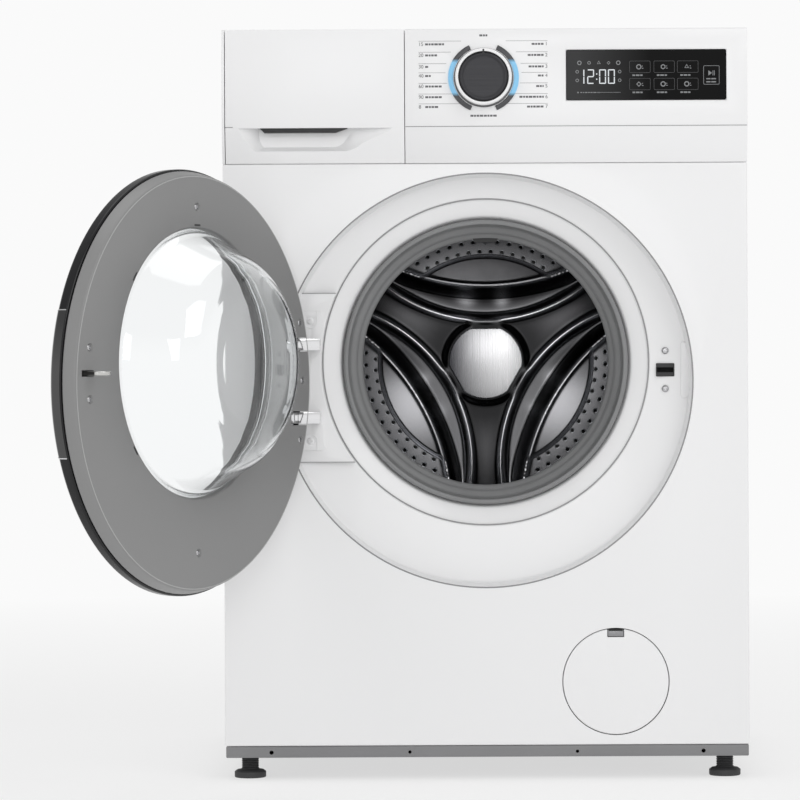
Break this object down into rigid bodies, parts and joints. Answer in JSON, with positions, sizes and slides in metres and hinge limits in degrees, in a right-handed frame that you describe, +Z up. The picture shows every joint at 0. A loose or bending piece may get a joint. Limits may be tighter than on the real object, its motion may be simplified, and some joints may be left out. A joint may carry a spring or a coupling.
{
  "type": "front load washing machine",
  "caption": "Freestanding front loading washing machine with an open round glass door, a detergent drawer, a program knob, a display and a sprung tub with a belt driven drum.",
  "frame": {"origin": "on the floor, under the middle of the whole machine's box with its door standing open", "axes": "+Z up; +Y from the front towards the back; +X to the right as seen from the front"},
  "size_m": [0.7477, 0.9624, 0.85],
  "materials": {
    "base_grey": "satin",
    "bearing_steel": "polished",
    "belt_black": "matte",
    "bin_blue_grey": "satin",
    "black_glass": "gloss",
    "black_gloss": "gloss",
    "black_handle": "gloss",
    "board_green": "matte",
    "chrome": "polished",
    "clear_glass": "clear",
    "concrete": "rough",
    "concrete_front": "rough",
    "damper_grey": "satin",
    "drum_back_steel": "polished",
    "drum_front_steel": "polished",
    "drum_steel": "polished",
    "filter_grey": "satin",
    "foot_black": "matte",
    "gland_black": "matte",
    "grey_door_plate": "satin",
    "grey_plastic": "satin",
    "grey_rubber": "matte",
    "heater_steel": "satin",
    "hook_metal": "polished",
    "knob_dark": "satin",
    "knob_white": "gloss",
    "lifter_plastic": "satin",
    "light_blue": "gloss",
    "lock_black": "matte",
    "motor_metal": "cast",
    "pulley_alu": "satin",
    "pump_white": "satin",
    "rod_steel": "polished",
    "rotor_steel": "satin",
    "seal_black": "matte",
    "spider_alu": "cast",
    "spring_steel": "satin",
    "steel_pin": "polished",
    "tub_plastic": "satin",
    "tub_plastic_rear": "satin",
    "valve_white": "satin",
    "white_enamel": "gloss",
    "white_fascia": "satin",
    "white_fascia_drawer": "satin",
    "white_flap": "satin",
    "white_hinge": "satin",
    "white_laminate": "satin",
    "white_sheet": "satin",
    "zinc": "satin"
  },
  "bodies": {
    "cabinet": {"base_pan": "base_grey", "cabinet_wrap": "white_sheet", "control_board": "board_green", "control_fascia": "white_fascia", "damper_tube_left": "damper_grey", "damper_tube_right": "damper_grey", "dial_light_left": "light_blue", "dial_light_right": "light_blue", "dispenser_housing": "grey_plastic", "display_window": "black_glass", "door_lock": "lock_black", "door_seal": "grey_rubber", "drain_pump": "pump_white", "front_panel": "white_enamel", "hinge_arm_lower": "chrome", "hinge_arm_upper": "chrome", "hinge_plate": "white_hinge", "inlet_valve": "valve_white", "mains_gland": "gland_black", "rear_cover": "zinc", "spring_left": "spring_steel", "spring_right": "spring_steel", "top_cover": "white_laminate"},
    "tub": {"tub_front": "tub_plastic", "tub_rear": "tub_plastic_rear", "counterweight_top": "concrete", "counterweight_front": "concrete_front", "heater": "heater_steel", "bearing_front": "bearing_steel", "bearing_rear": "bearing_steel", "shaft_seal": "seal_black", "motor_housing": "motor_metal", "drive_belt": "belt_black", "damper_rod_left": "rod_steel", "damper_rod_right": "rod_steel"},
    "drum": {"drum_shell": "drum_steel", "drum_front_ring": "drum_front_steel", "drum_back": "drum_back_steel", "lifter_1": "lifter_plastic", "lifter_2": "lifter_plastic", "lifter_3": "lifter_plastic", "drum_spider": "spider_alu", "drum_pulley": "pulley_alu"},
    "motor": {"motor_rotor": "rotor_steel"},
    "door": {"door_outer_ring": "black_gloss", "door_inner_ring": "grey_door_plate", "door_glass": "clear_glass", "door_handle": "black_handle", "hinge_pin": "steel_pin"},
    "latch": {"latch_hook": "hook_metal"},
    "drawer": {"drawer_front": "white_fascia_drawer", "drawer_bin": "bin_blue_grey"},
    "program_knob": {"knob_ring": "knob_white", "knob_face": "knob_dark"},
    "flap": {"filter_flap": "white_flap"},
    "filter": {"pump_filter": "filter_grey"},
    "foot_front_left": {"foot_front_left": "foot_black"},
    "foot_front_right": {"foot_front_right": "foot_black"},
    "foot_back_left": {"foot_back_left": "foot_black"},
    "foot_back_right": {"foot_back_right": "foot_black"}
  },
  "joints": [
    {"name": "door_swing", "type": "hinge", "parent": "cabinet", "child": "door", "pos_m": [-0.14353, -0.08499, 0.452], "axis": [0, 0, 1], "range_deg": [0, 120]},
    {"name": "latch_tilt", "type": "hinge", "parent": "door", "child": "latch", "pos_m": [-0.34129, -0.45752, 0.463], "axis": [0, 0, 1], "range_deg": [-6, 3], "stiffness_Nm_per_rad": 0.5},
    {"name": "drawer_slide", "type": "slide", "parent": "cabinet", "child": "drawer", "axis": [0, -1, 0], "range_m": [0, 0.17]},
    {"name": "program_turn", "type": "hinge", "parent": "cabinet", "child": "program_knob", "pos_m": [0.07597, -0.08699, 0.7947], "axis": [0, -1, 0], "continuous": true},
    {"name": "flap_swing", "type": "hinge", "parent": "cabinet", "child": "flap", "pos_m": [0.22297, -0.07779, 0.0502], "axis": [1, 0, 0], "range_deg": [0, 90]},
    {"name": "filter_turn", "type": "hinge", "parent": "cabinet", "child": "filter", "pos_m": [0.22297, -0.05699, 0.106], "axis": [0, -1, 0], "range_deg": [0, 90]},
    {"name": "tub_bounce", "type": "slide", "parent": "cabinet", "child": "tub", "axis": [0, 0, 1], "range_m": [-0.008, 0.008], "stiffness_N_per_m": 20000, "springref_m": 0.0134, "deforming": ["spring_left", "spring_right"]},
    {"name": "drum_spin", "type": "hinge", "parent": "tub", "child": "drum", "pos_m": [0.07697, 0.03801, 0.473], "axis": [0, -1, 0], "continuous": true},
    {"name": "motor_spin", "type": "hinge", "parent": "tub", "child": "motor", "pos_m": [0.20697, 0.39501, 0.173], "axis": [0, -1, 0], "continuous": true},
    {"name": "foot_front_left_turn", "type": "hinge", "parent": "cabinet", "child": "foot_front_left", "pos_m": [-0.19403, -0.04199, 0], "axis": [0, 0, 1], "continuous": true},
    {"name": "foot_front_right_turn", "type": "hinge", "parent": "cabinet", "child": "foot_front_right", "pos_m": [0.34797, -0.04199, 0], "axis": [0, 0, 1], "continuous": true},
    {"name": "foot_back_left_turn", "type": "hinge", "parent": "cabinet", "child": "foot_back_left", "pos_m": [-0.19403, 0.41801, 0], "axis": [0, 0, 1], "continuous": true},
    {"name": "foot_back_right_turn", "type": "hinge", "parent": "cabinet", "child": "foot_back_right", "pos_m": [0.34797, 0.41801, 0], "axis": [0, 0, 1], "continuous": true}
  ],
  "couplings": [
    {"joint": "motor_spin", "follows": "drum_spin", "ratio": 12.017}
  ]
}
